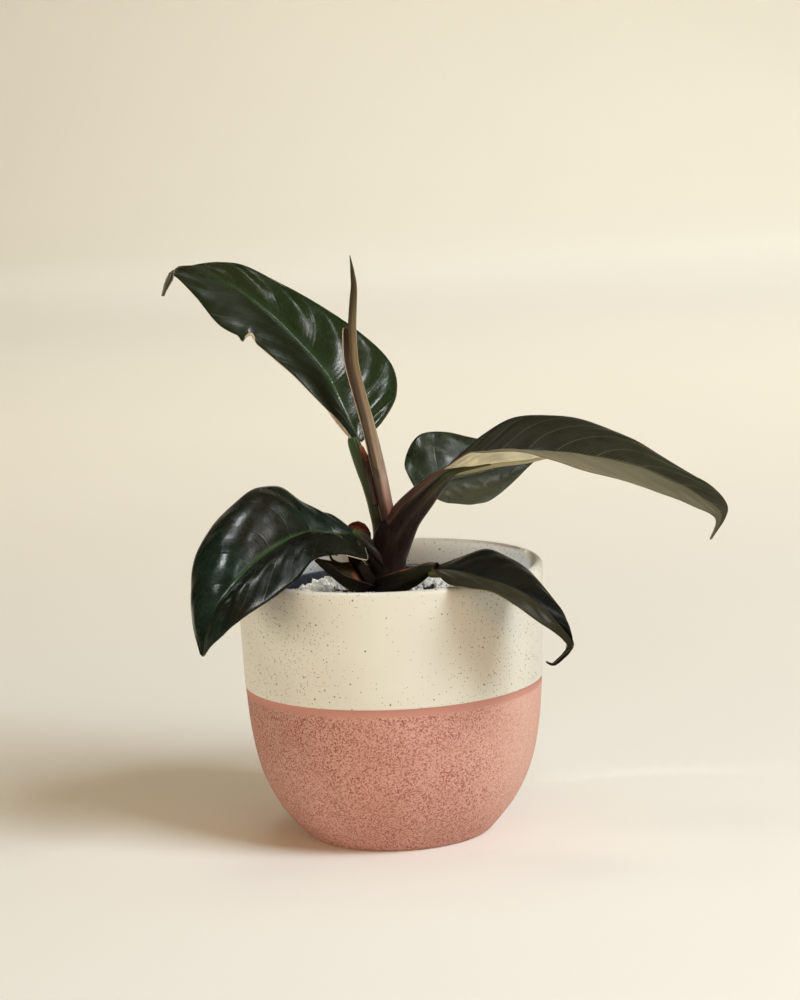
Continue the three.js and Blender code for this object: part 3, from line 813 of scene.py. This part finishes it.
def soil(mix):
    radii = [SOIL_EDGE_RADIUS * i / SOIL_RINGS for i in range(SOIL_RINGS, -1, -1)]
    top = [(radius, soil_height(radius)) for radius in radii]
    bm = turned([(0, SOIL_FOOT), (SOIL_FOOT_RADIUS, SOIL_FOOT)] + top, SOIL_STEPS_ROUND)
    for vert in bm.verts:
        x, y = vert.co.x / MM, vert.co.y / MM
        if vert.co.z > 100 * MM and math.hypot(x, y) < SOIL_EDGE_RADIUS - 0.5:
            vert.co.z = soil_level(x, y) * MM
    make_piece("soil_mound", bm, [mix], ["potting_soil"])


def lump(bm, draw, place, radius, squash=0.8, subdivisions=1):
    """One rounded irregular grain."""
    turn = Matrix.Rotation(draw.uniform(0, 6), 4, (draw.random(), draw.random(), draw.random() + 0.1))
    scale = Matrix.Diagonal((draw.uniform(0.8, 1.2), draw.uniform(0.7, 1), squash, 1))
    matrix = Matrix.Translation(Vector(place) * MM) @ turn @ scale
    made = bmesh.ops.create_icosphere(bm, subdivisions=subdivisions, radius=radius * MM, matrix=matrix)
    for vert in made["verts"]:
        vert.co += Vector((draw.gauss(0, 1), draw.gauss(0, 1), draw.gauss(0, 1))) * radius * 0.1 * MM


def scattered(draw, reach):
    angle, radius = draw.uniform(0, 2 * math.pi), reach * math.sqrt(draw.random())
    return radius * math.cos(angle), radius * math.sin(angle)


def perlite(finish):
    draw = random.Random(11)
    bm = bmesh.new()
    for i in range(PERLITE_LUMPS):
        distance = 24 + 26 * (i + 0.5) / PERLITE_LUMPS
        angle = math.radians(63 + i * 137.5)
        radius = 2.4 * (1 + 0.25 * math.sin(i * 2.3))
        height = soil_height(distance) + radius * 0.35
        place = (distance * math.cos(angle), distance * math.sin(angle), height)
        lump(bm, draw, place, radius * 0.95, subdivisions=2)
    for _ in range(PERLITE_GRAINS):
        x, y = scattered(draw, SCATTER_REACH)
        radius = draw.choice((0.6, 0.8, 1.0, 1.3, 1.6))
        lump(bm, draw, (x, y, soil_level(x, y) + radius * draw.uniform(0.1, 0.8)), radius)
    for x_middle, y_middle, reach, height, count in PERLITE_HEAPS:
        for _ in range(count):
            out, turn = reach * math.sqrt(draw.random()), draw.uniform(0, 2 * math.pi)
            x, y = x_middle + out * math.cos(turn), y_middle + out * math.sin(turn)
            rise = height * (1 - (out / reach) ** 2) * draw.uniform(0.3, 1)
            lump(bm, draw, (x, y, soil_level(x, y) + rise), draw.uniform(1, 2.2))
    bmesh.ops.recalc_face_normals(bm, faces=bm.faces)
    nodes = [f"perlite_lump_{i + 1}" for i in range(PERLITE_LUMPS)]
    make_piece("perlite_grains", bm, [finish], nodes, smooth=False)


def crumbs(finish):
    draw = random.Random(5)
    bm = bmesh.new()
    for _ in range(BARK_CRUMBS):
        x, y = scattered(draw, SCATTER_REACH)
        radius = draw.uniform(0.5, 1.6)
        lump(bm, draw, (x, y, soil_level(x, y) + radius * 0.3), radius, squash=0.5)
    bmesh.ops.recalc_face_normals(bm, faces=bm.faces)
    make_piece("soil_crumbs", bm, [finish], smooth=False)


cover_pot(cream_glaze(), pink_slip(), bare_clay())
nursery_pot(nursery_plastic())
soil(potting_mix())
perlite(perlite_grain())
crumbs(crumb_bark())


# Plant.

def channelled(angle, share):
    """A stalk with a shallow channel along its upper side."""
    away = abs(angle - math.pi / 2)
    return 1 - 0.28 * hump(away, 0.5) + 0.05 * hump(away - 0.8, 0.3)


def winged(angle, share):
    """A stalk whose sheath opens in two wings on either side of a deep channel, closing towards the blade."""
    away = abs(angle - math.pi / 2)
    opening = min(1.0, max(0.0, (share - 0.22) / 0.3))
    open_part = opening * opening * (3 - 2 * opening) * max(0.0, 1 - (share / 0.97) ** 4)
    return 1 + open_part * (0.12 * hump(away - 0.72, 0.24) - 0.34 * hump(away, 0.36))


def wrapped(angle, share):
    """A foot wrapped in the bases of older leaves, with the step of one edge winding up it."""
    edge = (3.6 + 2.2 * share) % (2 * math.pi)
    turn = ((angle - edge) % (2 * math.pi)) / (2 * math.pi)
    return 0.93 + 0.1 * turn


def sharp_edge(angle, share):
    """A rolled blade: flat where it faces the light, with a thin edge on its left."""
    return 1 - 0.1 * hump(angle - 2.5, 0.5) + 0.06 * hump(angle - 1.75, 0.2)


def leaves():
    rim = leaf_rim("pale leaf margin", (110, 66, 54), (122, 114, 92))
    bottle = leaf_skin("bottle green leaf", (31, 40, 19), (37, 48, 24), (44, 43, 26), (50, 64, 38),
                       gloss=0.22, mottled=0.4, rib=0.085, spec=0.33, pale=(30, 26, 17), pale_side=-1,
                       pale_share=0.6, pale_matte=0.1)
    # The charcoal leaf's pale near half is a painted sheen of the key lamp, and near the stalk the paler
    # under side seen there; shaded adds painted shade near the stalk.
    charcoal = leaf_skin("charcoal leaf", (22, 20, 12), (58, 55, 38), (46, 39, 27), (90, 90, 66), pleats=9,
                         sweep=0.28, gloss=0.42, mottled=0.4, rib=0.03, lines=0.34, spec=0.08,
                         pale=(136, 128, 102), pale_share=0.85, shaded=0.7)
    # The pale tone on one half of the teal leaf is a painted highlight.
    teal = leaf_skin("teal leaf", (23, 29, 17), (46, 53, 31), (60, 48, 29), (80, 96, 60), pleats=7,
                     gloss=0.3, mottled=0.85, rib=0.03, pale=(98, 108, 100), pale_share=0.8)
    mottled = leaf_skin("mottled leaf", (15, 22, 16), (32, 44, 35), (33, 27, 20), (56, 74, 38), gloss=0.22,
                        mottled=0.8, rib=0.04, spec=0.2, pale=(19, 16, 11), pale_side=-1, pale_share=0.8,
                        dusty=0.07, dusty_end=0.58)
    black = leaf_skin("blackish leaf", (9, 9, 5), (15, 16, 9), (20, 15, 9), (40, 40, 25), sweep=0.24,
                      gloss=0.38, mottled=0.6, rib=0.03, spec=0.1, pale=(58, 55, 38))
    olive = leaf_back("olive under side", (240, 234, 204), (244, 239, 212), pleats=9, sweep=0.28)
    cream = leaf_rim("cream lip", (188, 168, 140), (200, 184, 158))
    dull = leaf_back("dull under side", (58, 52, 40), (84, 78, 60))
    rib_green = stalk_skin("midrib green", (0, 104, 106, 70), (1, 138, 132, 98), streak=0.25)
    rib_olive = stalk_skin("midrib olive", (0, 150, 146, 110), (0.4, 176, 170, 140), (1, 150, 144, 112),
                           streak=0.2)

    blade("tall_left_leaf", "tall_left_blade", TALL_LEFT_RIBS, [bottle, dull, rim], rib=(2.2, rib_green),
          pleat=2, left_pleat=0.35, ripple=0.3, steps=220,
          nudges=[(-1, 0.529, 0.0072, (0.2, -0.5, -2.4)), (-1, 0.498, 0.0153, (0.5, 1, 2.8))],
          lips=[(-1, 0.4815, 0.5175, 0.5, cream), (-1, 0.01, 0.18, 0.6, cream)])
    blade("long_right_leaf", "long_right_blade", LONG_RIGHT_RIBS, [charcoal, olive, rim],
          rib=(1.2, rib_olive), pleats=9, sweep=0.28, pleat=0.9, seed=3)
    blade("back_leaf", "back_blade", BACK_RIBS, [teal, dull, rim], rib=(1.6, rib_green), pleats=7,
          pleat=0.35, steps=110, ripple=0.6, seed=6)
    blade("front_left_leaf", "front_left_blade", FRONT_LEFT_RIBS, [mottled, dull, rim],
          rib=(2.2, rib_green), arch=5, pleat=0.85, ripple=0.7, seed=9,
          lips=[(-1, 0.04, 0.22, 0.08, cream)])
    blade("front_right_leaf", "front_right_blade", FRONT_RIGHT_RIBS, [black, dull, rim],
          rib=(1.8, rib_green), sweep=0.24, seed=12)


def stalks():
    # The right stalk's pale first band is a painted highlight, and its dark band along the channel is painted
    # shade.
    right = stalk_skin("right stalk", (0, 30, 15, 12), (0.3, 36, 21, 16), (0.5, 48, 40, 27),
                       (0.75, 52, 58, 36), (1, 92, 94, 64),
                       bands=[(0.17, 0.035, 0.35, (104, 80, 68)), (0.11, 0.07, 0.55, (84, 50, 38)),
                              (0.03, 0.03, 0.6, (96, 46, 36)), (0.25, 0.03, 0.6, (22, 16, 11))])
    left = stalk_skin("tall left stalk", (0, 40, 22, 16), (0.2, 62, 44, 32), (0.42, 62, 68, 42),
                      (1, 60, 74, 44), streak=0.2)
    low_left = stalk_skin("low left stalk", (0, 26, 17, 12), (0.5, 32, 24, 16), (0.75, 50, 46, 28),
                          (1, 70, 82, 46), gloss=0.5, spec=0.2)
    low_right = stalk_skin("low right stalk", (0, 28, 16, 12), (0.4, 36, 36, 23), (1, 50, 50, 34),
                           gloss=0.5, spec=0.2, bands=[(0.31, 0.08, 0.9, (158, 82, 46))])
    low_back = stalk_skin("low back stalk", (0, 40, 20, 16), (0.5, 56, 52, 30), (1, 66, 84, 42))
    # On the new leaf's stalk and rolls the dark band down the left side is partly their own darker colour and
    # partly painted shade; the inner roll's pale yellowish band on the right is a painted highlight.
    pink = stalk_skin("new leaf stalk", (0, 60, 32, 26), (0.3, 126, 88, 76), (0.7, 180, 156, 142),
                      (1, 174, 152, 136), streak=0.3,
                      bands=[(0.33, 0.14, 0.88, (46, 32, 24)), (0.66, 0.07, 0.4, (140, 84, 74))])
    outer_roll = stalk_skin("outer roll", (0, 174, 152, 136), (0.35, 125, 99, 78), (0.7, 80, 63, 46),
                            (1, 60, 46, 34), streak=0.35,
                            bands=[(0.325, 0.15, 0.9, (42, 31, 23)), (0.235, 0.03, 0.9, (206, 190, 164))])
    inner_roll = stalk_skin("inner roll", (0, 174, 152, 132), (0.35, 125, 103, 75), (0.7, 76, 65, 39),
                            (0.88, 60, 50, 29), (1, 54, 44, 34), streak=0.3,
                            bands=[(0.33, 0.11, 0.75, (56, 44, 30)), (0.66, 0.08, 0.7, (176, 160, 118))])
    pale_edge = leaf_rim("pale wrap edge", (196, 160, 140), (206, 178, 156))
    dark = stalk_skin("dark stem", (0, 60, 38, 26), (0.5, 32, 17, 13), (1, 28, 15, 12), gloss=0.5,
                      spec=0.25)

    stalk("stem", "main_stem", MAIN_STEM, dark, "dark_stem", facing=(0, -1, 0))
    stalk("leaf_bases", None, LEAF_BASES, dark, "dark_stem", facing=(0, -1, 0), section=wrapped, sides=64)
    for i in range(ROOTS):
        turn = Matrix.Rotation(math.radians(FIRST_ROOT_ANGLE + i * 360 / ROOTS), 3, "Z")
        stations = [[*(turn @ Vector(station[:3])), station[3]] for station in ROOT]
        stalk(f"root_{i + 1}", None, stations, dark, "dark_stem", sides=10, steps=24)
    stalk("long_right_petiole", "long_right_stalk", LONG_RIGHT_STALK, right, "maroon_stalk",
          facing=(-0.3, -0.9, 0.3), section=winged, sides=64)
    rolled = dict(facing=(-1, -0.4, 0), section=sharp_edge, sides=48)
    stalk("new_leaf_petiole", "new_leaf_stalk", NEW_LEAF_STALK, pink, "maroon_stalk", **rolled)
    stalk("tall_left_petiole", "tall_left_stalk", TALL_LEFT_STALK, left, "green_stalk", facing=(1, 0.5, 0),
          section=channelled)
    stalk("front_left_petiole", "front_left_stalk", FRONT_LEFT_STALK, low_left, "green_stalk",
          section=channelled)
    stalk("front_right_petiole", "front_right_stalk", FRONT_RIGHT_STALK, low_right, "maroon_stalk",
          section=channelled)
    stalk("back_petiole", "back_stalk", BACK_STALK, low_back, "green_stalk", facing=(0, -1, 0.3),
          section=channelled)
    stalk("new_leaf_spike", "new_leaf_roll", NEW_LEAF_INNER_ROLL, inner_roll, "new_leaf_skin", steps=140,
          **rolled)
    stalk("new_leaf_outer_wrap", None, NEW_LEAF_OUTER_ROLL, outer_roll, "new_leaf_skin", steps=100,
          **rolled)
    upper_roll = NEW_LEAF_OUTER_ROLL[2:]
    margin = [[x - 0.9 * radius, y - 0.5 * radius, z, WRAP_EDGE_RADIUS] for x, y, z, radius in upper_roll]
    stalk("new_leaf_wrap_edge", None, margin, pale_edge, "new_leaf_skin", sides=8, steps=80)


def sheaths():
    outside = sheath_skin("dark sheath outside", (0, 18, 12, 8), (0.6, 26, 23, 14), (1, 44, 42, 25),
                          spec=0.15)
    inside = sheath_skin("orange sheath inside", (0, 118, 66, 32), (0.3, 120, 72, 34), (0.5, 46, 35, 19),
                         (1, 30, 27, 15))
    amber = leaf_rim("amber edge", (186, 128, 84), (176, 122, 80))
    black = sheath_skin("black sheath", (0, 22, 14, 10), (1, 26, 20, 14), gloss=0.8, spec=0.1)
    red = sheath_skin("red sheath", (0, 84, 44, 32), (1, 110, 58, 42))
    orange_tip = sheath_skin("orange tipped sheath", (0, 42, 26, 19), (0.74, 54, 36, 26),
                             (0.9, 150, 84, 56), (1, 216, 144, 112))
    edge = sheath_skin("dark sheath edge", (0, 34, 20, 15), (1, 52, 34, 24))
    flat = dict(pleat=0, wave=0, groove=0, arch=0, curl=0, ripple=0.15, steps=40, half=12,
                slot="orange_sheath")
    blade("boat_scale", "boat_sheath", BOAT_SHEATH_RIBS, [outside, inside, edge],
          lips=[(-1, 0.15, 0.62, 0.3, amber)], **flat)
    blade("inner_scale", "inner_sheath", INNER_SHEATH_RIBS, [black, black, edge], **flat)
    blade("cupped_scale", "cupped_sheath", CUPPED_SHEATH_RIBS, [red, red, edge], **flat)
    blade("thin_scale", "new_leaf_sheath", NEW_LEAF_SHEATH_RIBS, [orange_tip, orange_tip, edge], **flat)
    stalk("dry_thread", "sheath_thread", SHEATH_THREAD, edge, "orange_sheath", sides=10)


leaves()
stalks()
sheaths()


# Studio.

def backdrop():
    """A sheet of paper that lies as the floor and turns up far behind."""
    bm = bmesh.new()
    bend = [math.radians(10 * i) for i in range(10)]
    turn = [(SWEEP_START + math.sin(a) * SWEEP_BEND, (1 - math.cos(a)) * SWEEP_BEND) for a in bend]
    line = [(SWEEP_FRONT, 0)] + turn + [(SWEEP_START + SWEEP_BEND, SWEEP_TOP)]
    verts = [bm.verts.new((-SWEEP_HALF_WIDTH, y, z)) for y, z in line]
    edges = [bm.edges.new(pair) for pair in zip(verts, verts[1:])]
    swept = bmesh.ops.extrude_edge_only(bm, edges=edges)["geom"]
    far_side = [item for item in swept if isinstance(item, bmesh.types.BMVert)]
    bmesh.ops.translate(bm, verts=far_side, vec=(2 * SWEEP_HALF_WIDTH, 0, 0))
    bmesh.ops.recalc_face_normals(bm, faces=bm.faces)
    sheet = add_mesh("paper_sweep", bm, [paper_sweep()])


def soft_light(name, place, target, size, watts, colour=(1, 1, 1), spread=180, glossy=True, diffuse=True):
    """A lamp with an even face, out of the camera's sight; it may be kept off gloss or off plain colour."""
    data = bpy.data.lights.new(name, "AREA")
    data.shape = "RECTANGLE"
    data.size, data.size_y = size
    data.energy = watts
    data.color = colour
    data.spread = math.radians(spread)
    light = add_object(name, data)
    light.location = place
    light.rotation_euler = (Vector(target) - Vector(place)).to_track_quat("-Z", "Y").to_euler()
    light.visible_camera = False
    light.visible_glossy = glossy
    light.visible_diffuse = diffuse


def studio():
    backdrop()
    soft_light("key", (1.37, -1.07, 1.44), PLANT_MIDDLE, (0.95, 0.9), 47.5, (0.835, 0.925, 1), glossy=False)
    soft_light("key sheen", (1.45, -0.96, 1.44), PLANT_MIDDLE, (0.6, 0.5), 36, diffuse=False)
    soft_light("overhead", (-0.2, 0.02, 1.5), PLANT_MIDDLE, (0.4, 0.4), 1.4, (1, 0.94, 0.82), glossy=False)
    soft_light("leaf sheen", (-0.3, 0.08, 1.5), (-0.05, 0, 0.1), (0.24, 0.18), 7.6, (0.92, 1, 1),
               diffuse=False)
    soft_light("back sheen", (0.74, -0.12, 1.45), (0, 0, 0.15), (0.2, 0.2), 2.6, (0.92, 1, 1),
               diffuse=False)
    soft_light("left fill", (-1.8, -0.9, 0.15), PLANT_MIDDLE, (1.6, 0.24), 19.5, (1, 0.91, 0.76),
               glossy=False)
    soft_light("front fill", (-0.4, -1.8, 0.5), PLANT_MIDDLE, (0.8, 0.4), 1, (1, 0.8, 0.5), glossy=False)
    soft_light("right fill", (1.1, -1.7, 0.35), PLANT_MIDDLE, (0.8, 0.4), 6.8, (1, 0.62, 0.27),
               glossy=False)
    soft_light("pot lamp", (-0.19, 0.055, 0.29), (0, 0.024, 0.115), (0.03, 0.03), 0.018, (0.93, 0.98, 1),
               spread=24, glossy=False)
    soft_light("mid floor", (1, 1.4, 2.2), (1, 1.4, 0), (3.6, 1.4), 8.2, (1, 1, 0.88), spread=70)
    soft_light("far floor", (1, 3, 2.6), (1, 3, 0), (3.6, 1), 16.9, (0.95, 1, 0.98), spread=90)
    soft_light("far wall", (0.6, 1.6, 2.6), (0.6, 4.8, 0.4), (3.6, 0.8), 9.8, (0.97, 1, 0.89), spread=70)
    world = bpy.data.worlds.new("studio")
    bpy.context.scene.world = world
    world.use_nodes = True
    background = world.node_tree.nodes["Background"]
    background.inputs["Color"].default_value = ROOM_TINT
    background.inputs["Strength"].default_value = ROOM_STRENGTH
    world.cycles_visibility.glossy = False
    bpy.context.scene.view_settings.view_transform = "Standard"


studio()
